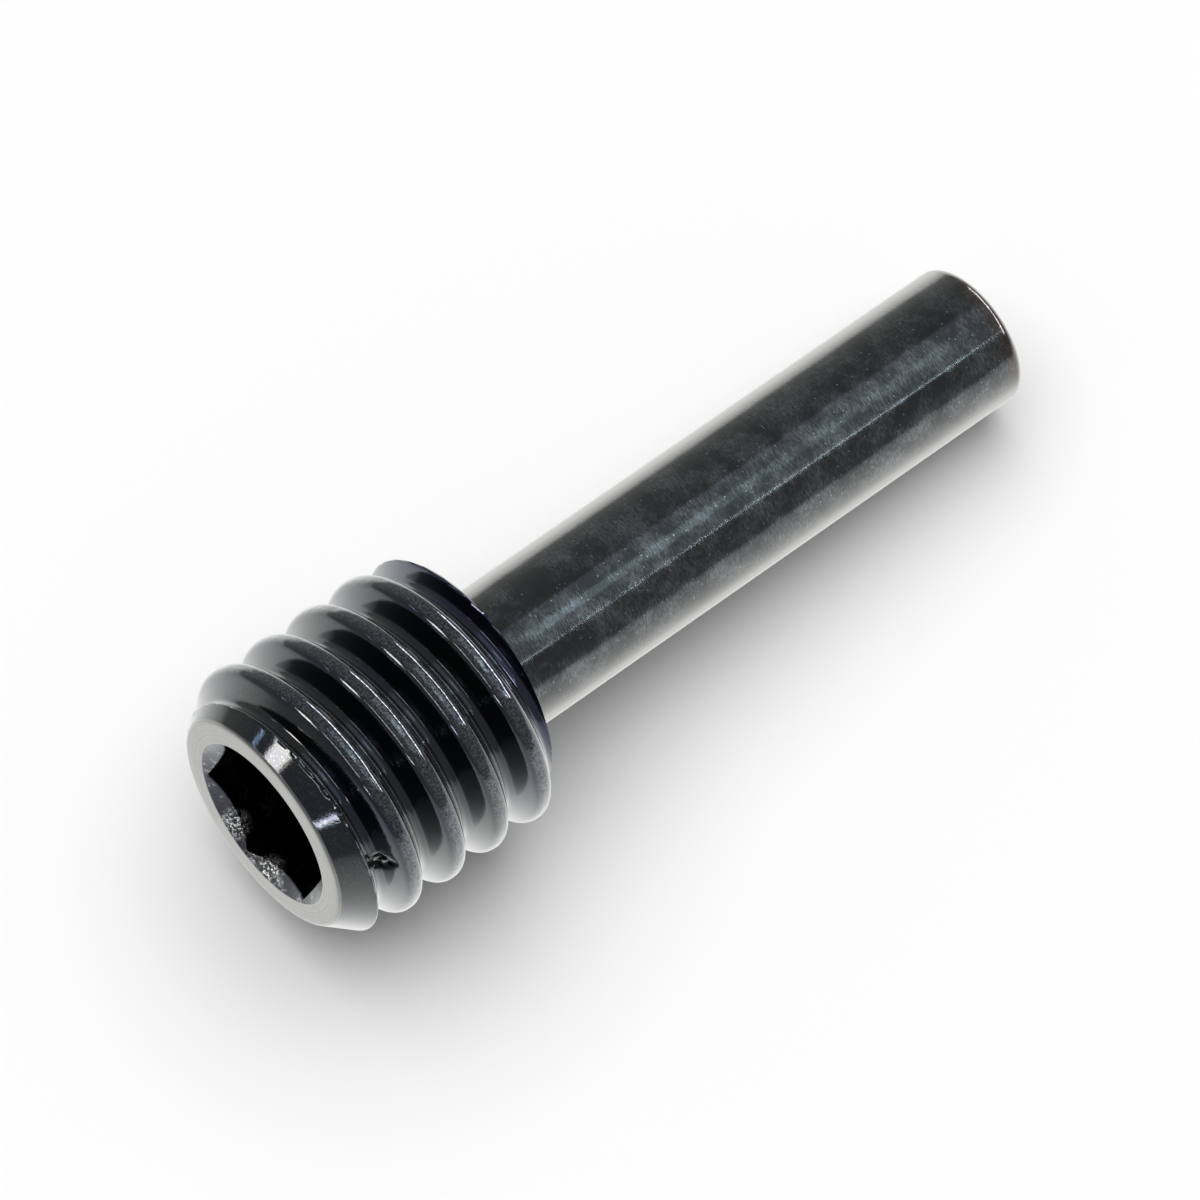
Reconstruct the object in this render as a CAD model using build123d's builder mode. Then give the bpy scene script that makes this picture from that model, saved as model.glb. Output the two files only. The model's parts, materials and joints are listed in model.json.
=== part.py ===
"""Screw pin: a threaded head with a hexagon socket, turned and rolled in one piece with a plain round pin.

Units are millimetres, +Z is up. The screw lies as it comes to rest on a flat surface: its last
thread crest and the lower edge of the pin's tip touch z = 0, and the tip points along +X.
The origin is under the middle of the screw, on that surface.
"""

from build123d import *
from math import asin, atan2, cos, degrees, hypot, radians, sin, tan
import os

# Driving dimensions
overall_length = 12.0
pin_radius = 1.0
pin_edge_radius = 0.14
shoulder_rounding = 0.08
thread_crest_radius = 1.92
thread_pitch = 0.7
head_length = 3.4

# Thread form, in a plane through the axis
flank_angle = 30
crest_rounding = 0.14
crest_land = 0.03
root_rounding = 0.09
root_land = 0.02
thread_start = 0.407
thread_turns = 6
groove_overrun = 0.1

# Ends of the threaded head
face_ring_radius = 1.51
face_edge_rounding = 0.08
front_chamfer_length = 0.5
rear_chamfer = 0.16

# Hexagon socket in the front face
socket_across_flats = 2.0
socket_depth = 2.0
socket_turn = 13.4
countersink_radius = 1.19
countersink_angle = 105
pilot_radius = 0.97
pilot_tip_angle = 118

# The screw rests on the end of its last full crest and on the rounded edge of the tip
rest_crest_station = head_length - rear_chamfer
tip_edge_station = overall_length - pin_edge_radius
tip_edge_centre = pin_radius - pin_edge_radius
rest_run = tip_edge_station - rest_crest_station
rest_drop = thread_crest_radius - tip_edge_centre
rest_tilt = degrees(atan2(rest_drop, rest_run) - asin(pin_edge_radius / hypot(rest_drop, rest_run)))
along = Vector(cos(radians(rest_tilt)), 0, -sin(radians(rest_tilt)))
crown = Vector(sin(radians(rest_tilt)), 0, cos(radians(rest_tilt)))

# Centre of the front face, placed so that the origin lies under the middle of the screw
face_height = rest_crest_station * crown.X + thread_crest_radius * crown.Z
near_end = -face_ring_radius * crown.X
far_end = tip_edge_station * along.X + tip_edge_centre * crown.X + pin_edge_radius
face_centre = Vector(-(near_end + far_end) / 2, 0, face_height)

# Working planes: the section holds the axis, with x along it and y outwards from it
screw_axis = Axis(face_centre, along)
face_plane = Plane(origin=face_centre, x_dir=crown, z_dir=along)
section_plane = Plane(origin=face_centre, x_dir=along, z_dir=(0, -1, 0))


def point_on_rounding(middle, rounding, angle):
    """Point on a rounding's circle, at an angle in degrees from the axial direction."""
    return (middle[0] + rounding * cos(radians(angle)), middle[1] + rounding * sin(radians(angle)))


def thread_groove(centre):
    """Outline of one thread groove in the section plane, widening into the two crests beside it."""
    crest_middle = (thread_pitch / 2 - crest_land / 2, thread_crest_radius - crest_rounding)
    lip = point_on_rounding(crest_middle, crest_rounding, 90)
    shoulder = point_on_rounding(crest_middle, crest_rounding, (270 - flank_angle) / 2)
    flank_top = point_on_rounding(crest_middle, crest_rounding, 180 - flank_angle)
    clear = (lip[0], thread_crest_radius + groove_overrun)
    foot_run = root_land / 2 + root_rounding * cos(radians(flank_angle))
    foot_height = flank_top[1] - (flank_top[0] - foot_run) / tan(radians(flank_angle))
    root_middle = (root_land / 2, foot_height + root_rounding * sin(radians(flank_angle)))
    flank_foot = point_on_rounding(root_middle, root_rounding, -flank_angle)
    root_side = point_on_rounding(root_middle, root_rounding, -(90 + flank_angle) / 2)
    root = point_on_rounding(root_middle, root_rounding, -90)

    def place(point, side):
        return (centre + side * point[0], point[1])

    with BuildLine() as outline:
        Line(place(root, -1), place(root, 1))
        for side in (-1, 1):
            ThreePointArc(place(root, side), place(root_side, side), place(flank_foot, side))
            Line(place(flank_foot, side), place(flank_top, side))
            ThreePointArc(place(flank_top, side), place(shoulder, side), place(lip, side))
            Line(place(lip, side), place(clear, side))
        Line(place(clear, -1), place(clear, 1))
    return outline


with BuildPart() as screw_pin:
    # Blank: the chamfered head and the plain pin, turned about one axis
    with BuildSketch(section_plane) as blank:
        with BuildLine():
            Polyline(
                (0, 0),
                (0, face_ring_radius),
                (front_chamfer_length, thread_crest_radius),
                (head_length - rear_chamfer, thread_crest_radius),
                (head_length, thread_crest_radius - rear_chamfer),
                (head_length, pin_radius),
                (overall_length, pin_radius),
                (overall_length, 0),
                close=True,
            )
        make_face()
        ring_corner = (0, face_ring_radius)
        shoulder_corner = (head_length, pin_radius)
        tip_corner = (overall_length, pin_radius)
        fillet(blank.vertices().sort_by_distance(ring_corner)[0], radius=face_edge_rounding)
        fillet(blank.vertices().sort_by_distance(shoulder_corner)[0], radius=shoulder_rounding)
        fillet(blank.vertices().sort_by_distance(tip_corner)[0], radius=pin_edge_radius)
    revolve(axis=screw_axis)

    # Right-hand thread: one groove wound along the head, running out through both chamfers
    first_turn = thread_start - thread_pitch
    path_start = face_centre + along * first_turn
    path_length = thread_turns * thread_pitch
    with BuildLine() as winding:
        Helix(thread_pitch, path_length, thread_crest_radius, center=path_start, direction=along)
    with BuildSketch(section_plane) as groove:
        add(thread_groove(first_turn).line)
        make_face()
    sweep(path=winding.line, is_frenet=True, mode=Mode.SUBTRACT)

    # Hexagon socket with its pilot bore and the countersink round its mouth
    with BuildSketch(face_plane):
        RegularPolygon(socket_across_flats / 2, 6, major_radius=False, rotation=socket_turn)
    extrude(amount=socket_depth, mode=Mode.SUBTRACT)
    tip_depth = pilot_radius / tan(radians(pilot_tip_angle / 2))
    countersink_depth = (countersink_radius - pilot_radius) / tan(radians(countersink_angle / 2))
    with BuildSketch(section_plane):
        with BuildLine():
            Polyline(
                (0, 0),
                (0, countersink_radius),
                (countersink_depth, pilot_radius),
                (socket_depth, pilot_radius),
                (socket_depth + tip_depth, 0),
                close=True,
            )
        make_face()
    revolve(axis=screw_axis, mode=Mode.SUBTRACT)

screw_pin.part.label = "screw_pin"

os.makedirs("parts", exist_ok=True)
export_step(screw_pin.part, "parts/screw_pin.step")
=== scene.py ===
"""Looks of the screw pin: a blackened steel head with a rolled thread, in one piece with a plain pin.

Lengths are in millimetres, as on a maker's drawing, and turn to metres where the mesh is made.
"""

import bpy
import json
import numpy as np
from math import atan, cos, pi, radians, sin, tan
from mathutils import Euler, Matrix, Vector


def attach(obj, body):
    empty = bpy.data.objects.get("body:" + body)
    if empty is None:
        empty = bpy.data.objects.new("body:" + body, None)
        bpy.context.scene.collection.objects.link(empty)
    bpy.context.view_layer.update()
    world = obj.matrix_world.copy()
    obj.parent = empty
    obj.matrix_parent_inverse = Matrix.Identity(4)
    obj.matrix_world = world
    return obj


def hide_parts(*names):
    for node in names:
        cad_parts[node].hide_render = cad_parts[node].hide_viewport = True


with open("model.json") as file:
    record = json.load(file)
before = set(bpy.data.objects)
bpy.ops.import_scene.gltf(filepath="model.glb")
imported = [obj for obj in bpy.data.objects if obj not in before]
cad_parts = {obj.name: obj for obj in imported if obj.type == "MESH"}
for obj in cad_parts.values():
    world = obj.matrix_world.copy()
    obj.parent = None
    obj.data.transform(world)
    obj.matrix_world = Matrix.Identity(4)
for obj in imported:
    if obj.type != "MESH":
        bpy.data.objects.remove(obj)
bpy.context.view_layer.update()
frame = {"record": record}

MM = 0.001
mounts = {mount["name"]: mount for mount in frame["record"]["mounts"]}

# Where the screw lies: the middle of its front face, its axis, and the two directions square to it
face_centre = Vector(mounts["hex_socket"]["pos_m"])
along = Vector(mounts["pin"]["axis"]).normalized()
crown = Vector((-along.z, 0.0, along.x))
flank = along.cross(crown)

# Sizes of the screw
pin_radius = mounts["pin"]["dims"]["r_mm"]
overall_length = (Vector(mounts["pin_tip"]["pos_m"]) - face_centre).length / MM
tip_rounding = 0.14
head_length = 3.4
front_chamfer = 0.5
rear_chamfer = 0.16
shoulder_fillet = 0.08
ring_radius = 1.51
ring_edge_rounding = 0.08

# Form of the rolled thread
crest_radius = 1.92
pitch = 0.7
flank_angle = radians(30)
crest_rounding = 0.14
crest_land = 0.03
root_rounding = 0.09
root_land = 0.02
groove_station = 0.407

# Hexagon socket, its countersunk mouth and the cone left by the pilot drill
socket_flat = 1.0
socket_depth = 2.0
socket_turn = radians(13.4)
mouth_radius = 1.19
mouth_angle = radians(105 / 2)
pilot_radius = 0.97
pilot_angle = radians(118 / 2)

# Fineness of the skin: columns run round the axis, rows along it
COLUMNS = 318
ROW_STEP = 0.016
MOUTH_STEP = 0.01
FINISHES = ("socket", "ring", "thread", "pin")

# How softly two cut surfaces meet, at the socket's mouth and where the chamfers cut the thread
mouth_blend = 0.012
chamfer_blend = 0.05

# Pit torn into the end of the first groove
pit_station = 0.63
pit_turn = radians(70)
pit_reach = 0.115
pit_sweep = radians(6)
pit_depth = 0.11

# Burr pushed up on the front edge
burr_station = 0.17
burr_reach = 0.05
burr_turn = radians(-74)
burr_sweep = radians(4)
burr_height = 0.035

# Chips along the feather edge, where the front chamfer cuts the first groove
tear_from = radians(-8)
tear_to = radians(82)
tear_width = 0.035
tear_margin = 0.15
tear_depth = 0.05

# Crests uneven from rolling, and the size of the grains in all of this damage
crest_band = 0.07
crest_unevenness = 0.004
coarse_grain = 0.06
fine_grain = 0.035

# Two places on the socket's mouth where the broach tore the steel, and where a painted glint sits
torn_glint_turns = (radians(212), radians(172))
torn_glint_radius = 1.07
torn_glint_station = 0.08
torn_glint_reach = 0.25


# Skin of the screw


def grain(station, turn, cell, seed):
    """Random heights from 0 to 1 on a net of cells this many millimetres wide, closed round the axis."""
    around = round(2 * pi * crest_radius / cell)
    net = np.random.default_rng(seed).random((int(head_length / cell) + 4, around))
    down = station / cell
    across = (turn % (2 * pi)) / (2 * pi) * around
    row = np.floor(down).astype(int)
    column = np.floor(across).astype(int)
    down_share = down - row
    across_share = across - column
    row = np.clip(row, 0, net.shape[0] - 2)
    near = net[row, column % around] * (1 - across_share) + net[row, (column + 1) % around] * across_share
    row = row + 1
    far = net[row, column % around] * (1 - across_share) + net[row, (column + 1) % around] * across_share
    return near * (1 - down_share) + far * down_share


def thread_height(station, turn):
    """Radius of the rolled thread at a distance along the axis and an angle round it."""
    wound = station - groove_station - pitch * turn / (2 * pi)
    off = np.abs((wound + pitch / 2) % pitch - pitch / 2)
    crest_off = pitch / 2 - crest_land / 2
    crest_run = crest_rounding * cos(flank_angle)
    root_run = root_rounding * cos(flank_angle)
    flank_top = crest_radius - crest_rounding * (1 - sin(flank_angle))
    flank_start = crest_off - crest_run
    foot_off = root_land / 2 + root_run
    flank_foot = flank_top - (flank_start - foot_off) / tan(flank_angle)
    root_middle = flank_foot + root_rounding * sin(flank_angle)
    over_crest = np.clip(crest_off - off, 0, crest_run)
    over_root = np.clip(off - root_land / 2, 0, root_run)
    crest = crest_radius - crest_rounding + np.sqrt(crest_rounding**2 - over_crest**2)
    root = root_middle - np.sqrt(root_rounding**2 - over_root**2)
    flank_line = flank_top - (flank_start - off) / tan(flank_angle)
    return np.where(off > flank_start, crest, np.where(off < foot_off, root, flank_line))


def soft_min(first, second, blend):
    """The lower of two heights, rounded where they cross."""
    near = np.maximum(blend - np.abs(first - second), 0) / blend
    return np.minimum(first, second) - near**2 * blend / 4


def hexagon(turn):
    """Radius of the broached socket's wall at an angle round the axis."""
    sector = (turn - socket_turn) % (pi / 3) - pi / 6
    return socket_flat / np.cos(sector)


def turn_from(turn, middle):
    """Angle from a place on the rim, between minus and plus half a turn."""
    return (turn - middle + pi) % (2 * pi) - pi


def damage(station, turn, front, thread):
    """How far the worn and torn places lie below the true form of the head."""
    coarse = grain(station, turn, coarse_grain, seed=3)
    fine = grain(station, turn, fine_grain, seed=5)

    # The grains make the pit's outline ragged and its bottom rough
    reach = ((station - pit_station) / pit_reach) ** 2 + (turn_from(turn, pit_turn) / pit_sweep) ** 2
    pit = np.clip(1.4 - reach - coarse, 0, 1) * pit_depth * fine

    # The chips fade out at both ends of the feather edge, and leave parts of it whole
    sweep = tear_to - tear_from
    share = np.clip((turn_from(turn, tear_from) % (2 * pi)) / sweep, 0, 1)
    inside = np.abs(turn_from(turn, (tear_from + tear_to) / 2)) < sweep / 2
    run = np.sin(pi * share) ** 0.5 * inside
    edge = np.exp(-(((front - thread) / tear_width) ** 2)) * (station < front_chamfer + tear_margin)
    tear = edge * run * np.clip(1.6 * coarse - 0.5, 0, 1) * tear_depth

    lift = ((station - burr_station) / burr_reach) ** 2 + (turn_from(turn, burr_turn) / burr_sweep) ** 2
    burr = np.exp(-lift) * burr_height * fine

    crest_share = np.clip((np.minimum(front, thread) - crest_radius + crest_band) / crest_band, 0, 1)
    uneven = crest_share * crest_unevenness * coarse
    return pit + tear + uneven - burr


def screw_rows():
    """Rows of station, radius and finish round the screw, from the socket's bottom to the tip's centre."""
    turn = socket_turn + np.arange(COLUMNS) * 2 * pi / COLUMNS
    level = np.ones(COLUMNS)
    wall = hexagon(turn)
    rows = []

    # Pilot drill's cone and the step out to the broached walls
    cone_depth = pilot_radius / tan(pilot_angle)
    for share in (0.2, 0.4, 0.6, 0.8, 1.0):
        station = socket_depth + cone_depth * (1 - share)
        rows.append((level * station, level * pilot_radius * share, "socket"))
    rows.append((level * socket_depth, wall * 0.995, "socket"))

    # Walls, fine near the mouth where the countersink cuts six crescents
    mouth_run = (mouth_radius - socket_flat) / tan(mouth_angle)
    deep = np.linspace(socket_depth - 0.01, mouth_run * 1.3, 8)
    fine = np.arange(mouth_run * 1.3, 0, -MOUTH_STEP)[1:]
    for station in (*deep, *fine, 0.0):
        cone = mouth_radius - station * tan(mouth_angle)
        rows.append((level * station, -soft_min(-wall, -cone * level, mouth_blend), "socket"))

    # Flat ring, with both its edges eased
    rows.append((level * 0.0, level * (mouth_radius + 0.012), "ring"))
    chamfer_slope = atan((crest_radius - ring_radius) / front_chamfer)
    edge_turn = pi / 2 - chamfer_slope
    edge_start = ring_radius - ring_edge_rounding * tan(edge_turn / 2)
    for radius in np.linspace(mouth_radius + 0.03, edge_start, 4):
        rows.append((level * 0.0, level * radius, "ring"))
    for share in (0.2, 0.4, 0.6, 0.8, 1.0):
        bend = edge_turn * share
        station = ring_edge_rounding * (1 - cos(bend))
        radius = edge_start + ring_edge_rounding * sin(bend)
        rows.append((level * station, level * radius, "ring"))
    first_station = station

    # Threaded head between its two chamfers
    count = int((head_length - first_station) / ROW_STEP)
    for station in np.linspace(first_station, head_length, count + 1)[1:]:
        front = ring_radius + station * tan(chamfer_slope)
        rear = crest_radius - rear_chamfer + head_length - station
        thread = thread_height(station, turn)
        ends = soft_min(level * front, level * rear, chamfer_blend)
        worn = damage(station * level, turn, front, thread)
        rows.append((level * station, soft_min(thread, ends, chamfer_blend) - worn, "thread"))

    # Rear face and the small fillet into the pin
    outer = rows[-1][1]
    inner = pin_radius + shoulder_fillet
    for share in (0.05, 0.3, 0.6, 1.0):
        rows.append((level * head_length, outer + (inner - outer) * share, "thread"))
    for share in (0.25, 0.5, 0.75, 1.0):
        bend = share * pi / 2
        station = head_length + shoulder_fillet * (1 - cos(bend))
        rows.append((level * station, level * (inner - shoulder_fillet * sin(bend)), "pin"))

    # Plain pin, its rounded edge and its flat tip
    for station in np.linspace(station, overall_length - tip_rounding, 12)[1:]:
        rows.append((level * station, level * pin_radius, "pin"))
    for share in np.linspace(0, 1, 9)[1:]:
        bend = share * pi / 2
        station = overall_length - tip_rounding * (1 - sin(bend))
        rows.append((level * station, level * (pin_radius - tip_rounding * (1 - cos(bend))), "pin"))
    for share in (0.98, 0.7, 0.4, 0.15):
        rows.append((level * overall_length, level * (pin_radius - tip_rounding) * share, "pin"))
    return turn, rows


def screw_mesh():
    """One closed mesh from the rows, with a point at the bottom of the socket and one in the tip."""
    turn, rows = screw_rows()
    stations = np.array([row[0] for row in rows])
    radii = np.array([row[1] for row in rows])
    lay = np.stack([stations, radii * np.cos(turn), radii * np.sin(turn)], axis=-1).reshape(-1, 3)
    bottom_station = socket_depth + pilot_radius / tan(pilot_angle)
    lay = np.concatenate([lay, [[bottom_station, 0, 0], [overall_length, 0, 0]]])
    points = lay @ np.array([along, crown, flank]) * MM + np.array(face_centre)

    first = np.arange(COLUMNS)
    second = (first + 1) % COLUMNS
    faces = []
    finish = []
    for row in range(len(rows) - 1):
        low = row * COLUMNS
        high = low + COLUMNS
        faces += list(zip(low + first, high + first, high + second, low + second))
        finish += [FINISHES.index(rows[row + 1][2])] * COLUMNS
    last = (len(rows) - 1) * COLUMNS
    bottom = len(rows) * COLUMNS
    faces += list(zip(np.full(COLUMNS, bottom), first, second))
    faces += list(zip(np.full(COLUMNS, bottom + 1), last + second, last + first))
    finish += [FINISHES.index("socket")] * COLUMNS + [FINISHES.index("pin")] * COLUMNS

    mesh = bpy.data.meshes.new("screw_pin_skin")
    mesh.from_pydata(points.tolist(), [], [tuple(int(i) for i in face) for face in faces])
    mesh.polygons.foreach_set("material_index", finish)
    place = mesh.attributes.new("place_mm", "FLOAT_VECTOR", "POINT")
    place.data.foreach_set("vector", lay.astype(np.float32).ravel())
    mesh.shade_smooth()
    mesh.set_sharp_from_angle(angle=radians(38))
    return mesh


# Materials


def linear(code):
    """An sRGB hex value as linear red, green, blue and alpha."""
    channels = [int(code[i:i + 2], 16) / 255 for i in (0, 2, 4)]
    return [c / 12.92 if c <= 0.04045 else ((c + 0.055) / 1.055) ** 2.4 for c in channels] + [1.0]


def add_node(tree, kind, settings=None, **links):
    """Adds a node with its settings and its inputs, given as values or as sockets of other nodes."""
    node = tree.nodes.new(kind)
    for name, value in (settings or {}).items():
        setattr(node, name, value)
    for name, value in links.items():
        socket = node.inputs[int(name[1:])] if name[0] == "_" else node.inputs[name.replace("_", " ")]
        if isinstance(value, bpy.types.NodeSocket):
            tree.links.new(value, socket)
        else:
            socket.default_value = value
    return node


def new_material(name):
    """A material with no nodes but the place on the screw in mm: along its axis, and two ways across."""
    material = bpy.data.materials.new(name)
    material.use_nodes = True
    tree = material.node_tree
    tree.nodes.clear()
    place = add_node(tree, "ShaderNodeAttribute", {"attribute_name": "place_mm"}).outputs["Vector"]
    return material, tree, place


def oxide_film(tree, tone, roughness, relief, relief_mm, grazing="F2F2EF", glare=1.6):
    """The black oxide with its trace of oil: dark face on, and bright as glass at a glancing angle."""
    glance = add_node(tree, "ShaderNodeLayerWeight", Blend=0.5)
    rise = add_node(tree, "ShaderNodeMath", {"operation": "POWER"}, _0=glance.outputs["Facing"], _1=2.9)
    share = add_node(
        tree, "ShaderNodeMath", {"operation": "MULTIPLY", "use_clamp": True},
        _0=rise.outputs[0], _1=glare,
    )
    film = add_node(
        tree, "ShaderNodeMix", {"data_type": "RGBA"},
        _0=share.outputs[0], _6=tone, _7=linear(grazing),
    )
    bump = add_node(tree, "ShaderNodeBump", Strength=1.0, Distance=relief_mm * MM, Height=relief)
    shader = add_node(
        tree, "ShaderNodeBsdfPrincipled",
        Base_Color=film.outputs[2], Metallic=1.0, Roughness=roughness, Normal=bump.outputs[0],
        Coat_Weight=0.25, Coat_Roughness=0.06, Coat_IOR=1.45,
    )
    add_node(tree, "ShaderNodeOutputMaterial", Surface=shader.outputs["BSDF"])


def ground_pin_steel():
    """Pin ground round its axis before it was blackened: fine lines across it, cloudy gloss, bare specks."""
    material, tree, place = new_material("ground_pin_steel")

    # Grinding lines are 0.003 mm apart on the real pin, and 0.02 mm here so that they show
    wound = add_node(tree, "ShaderNodeVectorMath", {"operation": "MULTIPLY"}, _0=place, _1=(52, 14, 14))
    lines = add_node(
        tree, "ShaderNodeTexNoise",
        Vector=wound.outputs[0], Scale=1.0, Detail=3.0, Roughness=0.7,
    )
    clouds = add_node(tree, "ShaderNodeTexNoise", Vector=place, Scale=2.4, Detail=4.0, Roughness=0.6)
    rubbed = add_node(
        tree, "ShaderNodeMath", {"operation": "MULTIPLY"},
        _0=lines.outputs[0], _1=clouds.outputs[0],
    )
    bright = add_node(
        tree, "ShaderNodeMapRange", Value=rubbed.outputs[0],
        From_Min=0.2, From_Max=0.42, To_Min=0.0, To_Max=1.0,
    )
    tone = add_node(
        tree, "ShaderNodeMix", {"data_type": "RGBA"},
        _0=bright.outputs[0], _6=linear("464A4C"), _7=linear("84898D"),
    )

    # Bare specks 0.02 mm across, where the oxide didn't take
    cells = add_node(tree, "ShaderNodeTexVoronoi", Vector=place, Scale=17.0)
    small = add_node(
        tree, "ShaderNodeMath", {"operation": "LESS_THAN"},
        _0=cells.outputs["Distance"], _1=0.2,
    )
    pick = add_node(tree, "ShaderNodeSeparateColor", Color=cells.outputs["Color"])
    few = add_node(tree, "ShaderNodeMath", {"operation": "GREATER_THAN"}, _0=pick.outputs[0], _1=0.88)
    speck = add_node(
        tree, "ShaderNodeMath", {"operation": "MULTIPLY"},
        _0=small.outputs[0], _1=few.outputs[0],
    )
    specked = add_node(
        tree, "ShaderNodeMix", {"data_type": "RGBA"},
        _0=speck.outputs[0], _6=tone.outputs[2], _7=linear("989CA0"),
    )

    # Brown where the oxide is thin on the tip's rounded edge
    split = add_node(tree, "ShaderNodeSeparateXYZ", Vector=place)
    edge = add_node(
        tree, "ShaderNodeMapRange", Value=split.outputs[0],
        From_Min=overall_length - 0.34, From_Max=overall_length - 0.1, To_Min=0.0, To_Max=0.75,
    )
    radial = add_node(tree, "ShaderNodeVectorMath", {"operation": "MULTIPLY"}, _0=place, _1=(0, 1, 1))
    radius = add_node(tree, "ShaderNodeVectorMath", {"operation": "LENGTH"}, _0=radial.outputs[0])
    rim = add_node(
        tree, "ShaderNodeMapRange", Value=radius.outputs["Value"],
        From_Min=pin_radius - 2 * tip_rounding, From_Max=pin_radius - tip_rounding / 2,
        To_Min=0.0, To_Max=1.0,
    )
    worn = add_node(tree, "ShaderNodeMath", {"operation": "MULTIPLY"}, _0=edge.outputs[0], _1=rim.outputs[0])
    thin = add_node(
        tree, "ShaderNodeMath", {"operation": "MULTIPLY"},
        _0=worn.outputs[0], _1=clouds.outputs[0],
    )
    browned = add_node(
        tree, "ShaderNodeMix", {"data_type": "RGBA"},
        _0=thin.outputs[0], _6=specked.outputs[2], _7=linear("6E4A38"),
    )
    roughness = add_node(
        tree, "ShaderNodeMapRange", Value=clouds.outputs[0],
        From_Min=0.3, From_Max=0.7, To_Min=0.09, To_Max=0.16,
    )
    oxide_film(
        tree, browned.outputs[2], roughness.outputs[0], lines.outputs[0], 0.0012,
        grazing="BEBEBB", glare=3.0,
    )
    return material


def rolled_thread_steel():
    """Thread rolled between dies and burnished by them: smooth flanks, and crests rubbed grey and grainy."""
    material, tree, place = new_material("rolled_thread_steel")
    radial = add_node(tree, "ShaderNodeVectorMath", {"operation": "MULTIPLY"}, _0=place, _1=(0, 1, 1))
    radius = add_node(tree, "ShaderNodeVectorMath", {"operation": "LENGTH"}, _0=radial.outputs[0])
    station = add_node(tree, "ShaderNodeSeparateXYZ", Vector=place)

    # Blue and violet bloom of the hot salt bath, in patches about 1 mm wide
    bloom = add_node(tree, "ShaderNodeTexNoise", Vector=place, Scale=1.1, Detail=3.0, Roughness=0.5)
    blue = add_node(
        tree, "ShaderNodeMapRange", Value=bloom.outputs[0],
        From_Min=0.42, From_Max=0.66, To_Min=0.0, To_Max=0.45,
    )
    flank_tone = add_node(
        tree, "ShaderNodeMix", {"data_type": "RGBA"},
        _0=blue.outputs[0], _6=linear("404346"), _7=linear("353854"),
    )
    last = add_node(
        tree, "ShaderNodeMapRange", Value=station.outputs[0],
        From_Min=head_length - 0.55, From_Max=head_length - 0.15, To_Min=0.0, To_Max=0.28,
    )
    rear_tone = add_node(
        tree, "ShaderNodeMix", {"data_type": "RGBA"},
        _0=last.outputs[0], _6=flank_tone.outputs[2], _7=linear("4A466E"),
    )

    # Crests rubbed through to grey steel, in grains of 0.03 mm
    sand = add_node(tree, "ShaderNodeTexNoise", Vector=place, Scale=34.0, Detail=2.0, Roughness=0.7)
    top = add_node(
        tree, "ShaderNodeMapRange", Value=radius.outputs["Value"],
        From_Min=crest_radius - 0.035, From_Max=crest_radius - 0.005, To_Min=0.0, To_Max=0.85,
    )
    grit = add_node(
        tree, "ShaderNodeMapRange", Value=sand.outputs[0],
        From_Min=0.42, From_Max=0.62, To_Min=0.1, To_Max=1.0,
    )
    rubbed = add_node(
        tree, "ShaderNodeMath", {"operation": "MULTIPLY"},
        _0=top.outputs[0], _1=grit.outputs[0],
    )
    crest_tone = add_node(
        tree, "ShaderNodeMix", {"data_type": "RGBA"},
        _0=rubbed.outputs[0], _6=rear_tone.outputs[2], _7=linear("84888C"),
    )

    # Olive specks on the turned chamfer, where swarf scored it before the bath
    front = add_node(
        tree, "ShaderNodeMapRange", Value=station.outputs[0],
        From_Min=front_chamfer - 0.05, From_Max=front_chamfer + 0.1, To_Min=1.0, To_Max=0.0,
    )
    scored = add_node(
        tree, "ShaderNodeMapRange", Value=sand.outputs[0],
        From_Min=0.56, From_Max=0.66, To_Min=0.0, To_Max=0.35,
    )
    olive = add_node(
        tree, "ShaderNodeMath", {"operation": "MULTIPLY"},
        _0=front.outputs[0], _1=scored.outputs[0],
    )
    tone = add_node(
        tree, "ShaderNodeMix", {"data_type": "RGBA"},
        _0=olive.outputs[0], _6=crest_tone.outputs[2], _7=linear("7C7C68"),
    )

    # Painted shade in the torn pit: the colour darkens to near black towards the pit's middle
    pit_radius = crest_radius - 0.28
    pit_place = (pit_station, pit_radius * cos(pit_turn), pit_radius * sin(pit_turn))
    pit_gap = add_node(tree, "ShaderNodeVectorMath", {"operation": "DISTANCE"}, _0=place, _1=pit_place)
    unshaded_share = add_node(
        tree, "ShaderNodeMapRange", Value=pit_gap.outputs["Value"],
        From_Min=0.12, From_Max=0.26, To_Min=0.0, To_Max=1.0,
    )
    pit_shaded_tone = add_node(
        tree, "ShaderNodeMix", {"data_type": "RGBA"},
        _0=unshaded_share.outputs[0], _6=linear("1C1D20"), _7=tone.outputs[2],
    )
    roughness = add_node(
        tree, "ShaderNodeMapRange", Value=rubbed.outputs[0],
        From_Min=0.0, From_Max=1.0, To_Min=0.06, To_Max=0.14,
    )
    oxide_film(tree, pit_shaded_tone.outputs[2], roughness.outputs[0], sand.outputs[0], 0.0008, grazing="DADCDC")
    return material


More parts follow.
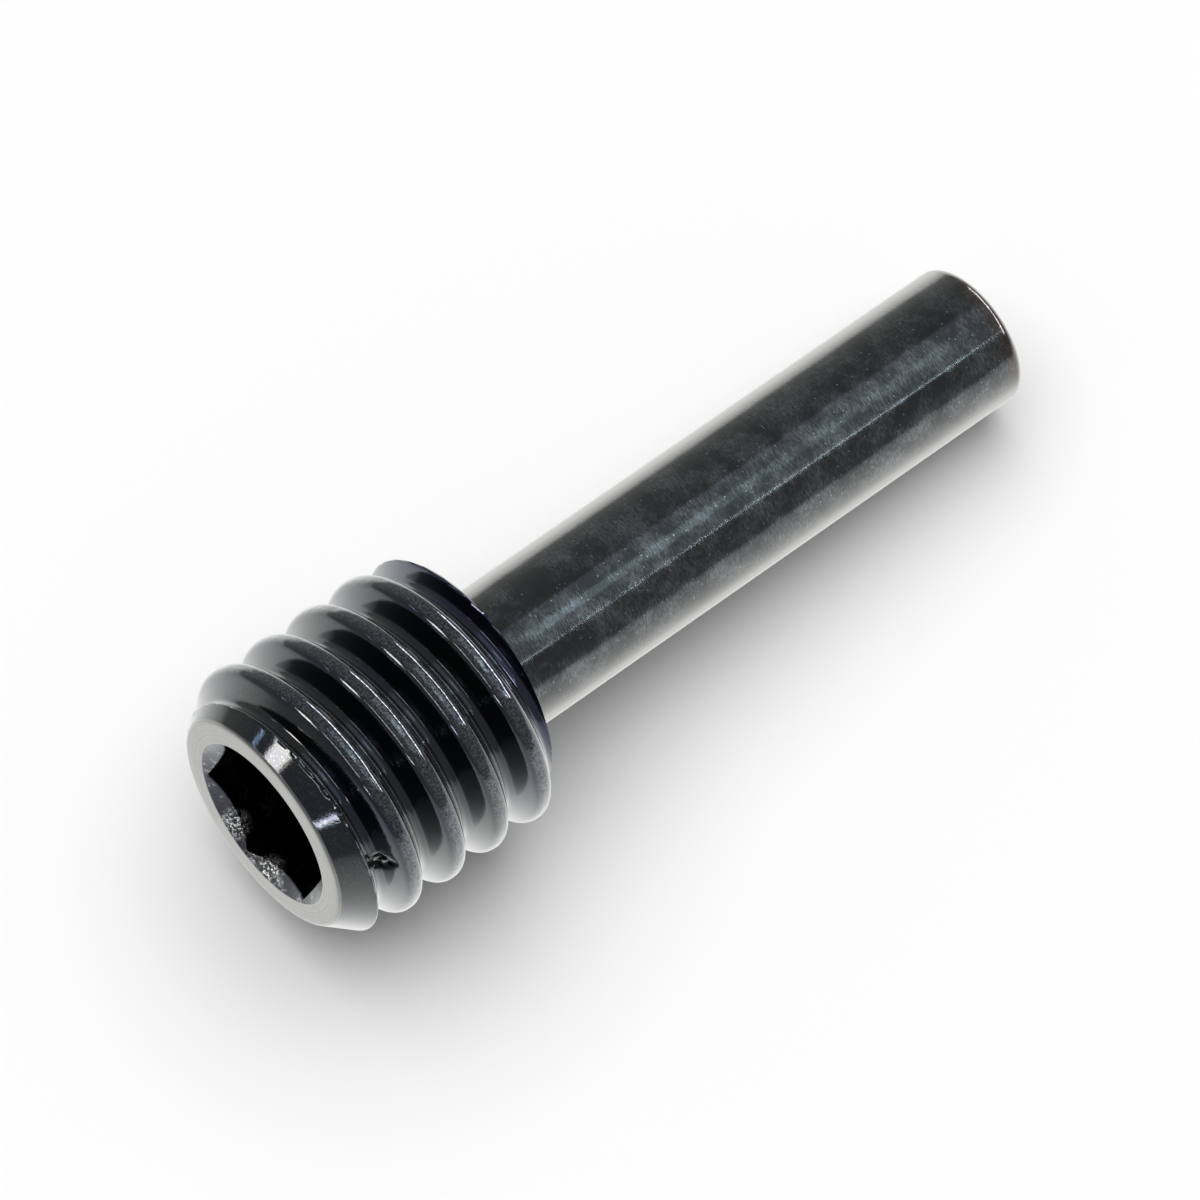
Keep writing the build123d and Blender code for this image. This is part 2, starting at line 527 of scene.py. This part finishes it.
def turned_ring_steel():
    """Front ring faced on the lathe: the oxide is thin, so grey steel shows between the tool's lines."""
    material, tree, place = new_material("turned_ring_steel")
    radial = add_node(tree, "ShaderNodeVectorMath", {"operation": "MULTIPLY"}, _0=place, _1=(0, 1, 1))
    radius = add_node(tree, "ShaderNodeVectorMath", {"operation": "LENGTH"}, _0=radial.outputs[0])

    # Facing lines 0.03 mm apart
    count = add_node(tree, "ShaderNodeMath", {"operation": "MULTIPLY"}, _0=radius.outputs["Value"], _1=33.0)
    lines = add_node(
        tree, "ShaderNodeTexNoise", {"noise_dimensions": "1D"},
        W=count.outputs[0], Scale=1.0, Detail=2.0,
    )
    haze = add_node(tree, "ShaderNodeTexNoise", Vector=place, Scale=3.0, Detail=4.0, Roughness=0.6)
    mixed = add_node(
        tree, "ShaderNodeMath", {"operation": "MULTIPLY"},
        _0=lines.outputs[0], _1=haze.outputs[0],
    )
    bright = add_node(
        tree, "ShaderNodeMapRange", Value=mixed.outputs[0],
        From_Min=0.15, From_Max=0.38, To_Min=0.0, To_Max=1.0,
    )
    tone = add_node(
        tree, "ShaderNodeMix", {"data_type": "RGBA"},
        _0=bright.outputs[0], _6=linear("6E7070"), _7=linear("8E9090"),
    )
    oxide_film(tree, tone.outputs[2], 0.26, lines.outputs[0], 0.0004, grazing="DCDCD8")
    return material


def broached_socket_steel():
    """Socket broached with a hexagon punch: lines down the walls, chatter, and grains torn at the mouth,
    painted near white as a glint.
    """
    material, tree, place = new_material("broached_socket_steel")

    # Lines 0.03 mm apart round the walls, and chatter marks 0.2 mm wide
    drawn = add_node(tree, "ShaderNodeVectorMath", {"operation": "MULTIPLY"}, _0=place, _1=(3, 30, 30))
    lines = add_node(
        tree, "ShaderNodeTexNoise",
        Vector=drawn.outputs[0], Scale=1.0, Detail=3.0, Roughness=0.7,
    )
    chatter = add_node(tree, "ShaderNodeTexNoise", Vector=place, Scale=4.5, Detail=5.0, Roughness=0.75)
    torn = add_node(
        tree, "ShaderNodeMapRange", Value=chatter.outputs[0],
        From_Min=0.54, From_Max=0.62, To_Min=0.0, To_Max=1.0,
    )
    tone = add_node(
        tree, "ShaderNodeMix", {"data_type": "RGBA"},
        _0=torn.outputs[0], _6=linear("44454E"), _7=linear("A4AAAC"),
    )

    # Bright torn grains 0.04 mm wide, in the two places on the mouth: torn steel, pushed to near white as a
    # painted glint
    gaps = []
    for turn in torn_glint_turns:
        middle = (torn_glint_station, torn_glint_radius * cos(turn), torn_glint_radius * sin(turn))
        gaps.append(add_node(tree, "ShaderNodeVectorMath", {"operation": "DISTANCE"}, _0=place, _1=middle))
    nearest = add_node(
        tree, "ShaderNodeMath", {"operation": "MINIMUM"},
        _0=gaps[0].outputs["Value"], _1=gaps[1].outputs["Value"],
    )
    spot = add_node(
        tree, "ShaderNodeMapRange", Value=nearest.outputs[0],
        From_Min=0.0, From_Max=torn_glint_reach, To_Min=1.3, To_Max=0.0,
    )
    flakes = add_node(tree, "ShaderNodeTexNoise", Vector=place, Scale=24.0, Detail=3.0, Roughness=0.7)
    flake = add_node(
        tree, "ShaderNodeMapRange", Value=flakes.outputs[0],
        From_Min=0.48, From_Max=0.56, To_Min=0.0, To_Max=1.0,
    )
    bare = add_node(
        tree, "ShaderNodeMath", {"operation": "MULTIPLY"},
        _0=spot.outputs[0], _1=flake.outputs[0],
    )
    # The grains' near-white colour is partly torn steel and partly a painted glint
    mouth = add_node(
        tree, "ShaderNodeMix", {"data_type": "RGBA"},
        _0=bare.outputs[0], _6=tone.outputs[2], _7=linear("FAFFFF"),
    )
    relief = add_node(tree, "ShaderNodeMath", {"operation": "ADD"}, _0=lines.outputs[0], _1=bare.outputs[0])
    oxide_film(tree, mouth.outputs[2], 0.2, relief.outputs[0], 0.01, grazing="B8BABC")
    return material


def white_card():
    """Matt white card under the screw, which metal shows as a glow without the screw's own shadow, in a
    painted pool of light brightest near the screw.
    """
    material, tree, _ = new_material("white_card")
    card = add_node(tree, "ShaderNodeBsdfDiffuse", Color=linear("F4F4F4"))

    # Painted pool of light: the card's glow in the metal dims from near the screw to further off, as under a
    # lamp over the table
    spot = add_node(tree, "ShaderNodeTexCoord")
    reach = add_node(tree, "ShaderNodeVectorMath", {"operation": "LENGTH"}, _0=spot.outputs["Object"])
    painted_light_pool = add_node(
        tree, "ShaderNodeMapRange", Value=reach.outputs["Value"],
        From_Min=10 * MM, From_Max=50 * MM, To_Min=1.0, To_Max=0.3,
    )
    plain = add_node(tree, "ShaderNodeEmission", Color=linear("F4F4F3"), Strength=painted_light_pool.outputs[0])
    path = add_node(tree, "ShaderNodeLightPath")
    mirrored = add_node(
        tree, "ShaderNodeMath", {"operation": "MAXIMUM"},
        _0=path.outputs["Is Glossy Ray"], _1=path.outputs["Is Transmission Ray"],
    )
    look = add_node(
        tree, "ShaderNodeMixShader",
        _0=mirrored.outputs[0], _1=card.outputs["BSDF"], _2=plain.outputs["Emission"],
    )
    add_node(tree, "ShaderNodeOutputMaterial", Surface=look.outputs["Shader"])
    return material


# The screw


screw = bpy.data.objects.new("screw_pin_body", screw_mesh())
bpy.context.scene.collection.objects.link(screw)
for finish in (broached_socket_steel, turned_ring_steel, rolled_thread_steel, ground_pin_steel):
    screw.data.materials.append(finish())
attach(screw, "root")
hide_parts("screw_pin")


# Table, camera and lamps


def table():
    """A square of white card, far wider than the screw."""
    reach = 1.5
    mesh = bpy.data.meshes.new("table")
    corners = [(x * reach, y * reach, 0) for x, y in ((-1, -1), (1, -1), (1, 1), (-1, 1))]
    mesh.from_pydata(corners, [], [(0, 1, 2, 3)])
    mesh.materials.append(white_card())
    card = bpy.data.objects.new("table", mesh)
    bpy.context.scene.collection.objects.link(card)
    return card


def long_lens_camera():
    """The camera stands where the photograph was taken from, with a long lens."""
    photo_side = 1200
    focal_pixels = 7500
    view_height = 63.18
    view_heading = 49.75
    face_distance = 93.6 * MM
    face_pixel = (262.0, 824.1)
    data = bpy.data.cameras.new("camera")
    data.sensor_width = 36
    data.lens = data.sensor_width * focal_pixels / photo_side
    data.clip_start = 0.005
    data.clip_end = 10
    camera = bpy.data.objects.new("camera", data)
    camera.rotation_euler = Euler((radians(90 - view_height), 0, radians(view_heading - 90)))
    right_off = (face_pixel[0] - photo_side / 2) / focal_pixels * face_distance
    down_off = (face_pixel[1] - photo_side / 2) / focal_pixels * face_distance
    turned = camera.rotation_euler.to_matrix()
    camera.location = face_centre - turned @ Vector((right_off, -down_off, -face_distance))
    bpy.context.scene.collection.objects.link(camera)
    return camera


def panel(name, towards, long_side, size, radiance, colour):
    """A flat lamp, by the way to it, the way its long side lies, its two sides in m and its brightness."""
    distance = 0.3
    data = bpy.data.lights.new(name, "AREA")
    data.shape = "RECTANGLE"
    data.size, data.size_y = size
    data.energy = radiance * pi * size[0] * size[1]
    data.color = linear(colour)[:3]
    lamp = bpy.data.objects.new(name, data)
    normal = Vector(towards).normalized()
    side = (Vector(long_side) - Vector(long_side).dot(normal) * normal).normalized()
    lamp.rotation_euler = Matrix((side, normal.cross(side), normal)).transposed().to_euler()
    lamp.location = normal * distance
    lamp.visible_diffuse = False
    bpy.context.scene.collection.objects.link(lamp)


def soft_lamp(name, towards, width, strength):
    """A lamp so far away that only its width in degrees matters. It lights the table, not the metal."""
    data = bpy.data.lights.new(name, "SUN")
    data.angle = radians(width)
    data.energy = strength
    lamp = bpy.data.objects.new(name, data)
    lamp.rotation_euler = Vector(towards).to_track_quat("Z", "Y").to_euler()
    lamp.visible_glossy = False
    bpy.context.scene.collection.objects.link(lamp)


def studio():
    """Panels and small lamps where the metal shows them, one soft key, and an even grey sky."""

    # Soft box over the pin, bright in its middle and more so towards the head
    panel("overhead_wide", (0.42, -0.29, 0.86), along, (0.15, 0.29), 0.4, "D4E6EE")
    panel("overhead_middle", (0.42, -0.29, 0.86), along, (0.15, 0.15), 0.55, "D4E6EE")
    panel("overhead_core", (0.388, -0.294, 0.874), along, (0.072, 0.06), 1.3, "D4E6EE")

    # Long strips that draw the bright lines on the crests, down the pin and in the grooves
    panel("cross_strip", (0.876, -0.03, 0.482), (0.0, -1.0, 0.0), (0.40, 0.045), 9.0, "EEF3FA")
    panel("side_tube", (0.512, -0.633, 0.579), along, (0.026, 0.004), 14.0, "E4F2F6")
    panel("root_tube", (-0.655, -0.197, 0.728), (-0.07, -0.94, -0.34), (0.19, 0.03), 5.0, "F0F2EA")

    # Lamps and a window in front of the screw, which show on the front chamfer
    panel("front_left_lamp", (-0.73, 0.33, 0.60), along, (0.07, 0.07), 12.0, "FFF6E6")
    panel("front_right_lamp", (-0.79, -0.50, 0.35), along, (0.05, 0.018), 11.0, "FFFFFF")
    panel("window_slit", (-0.65, 0.61, 0.44), along, (0.05, 0.002), 25.0, "C8E2FF")

    # The key is wide enough for the soft shadow, and too even to show in the metal
    soft_lamp("soft_key", (0.06, 0.16, 0.98), 80, 2.62)

    world = bpy.data.worlds.new("studio")
    world.use_nodes = True
    world.node_tree.nodes["Background"].inputs["Color"].default_value = linear("909090")
    world.node_tree.nodes["Background"].inputs["Strength"].default_value = 1.0
    bpy.context.scene.world = world


table()
bpy.context.scene.camera = long_lens_camera()
studio()
bpy.context.scene.view_settings.view_transform = "Standard"
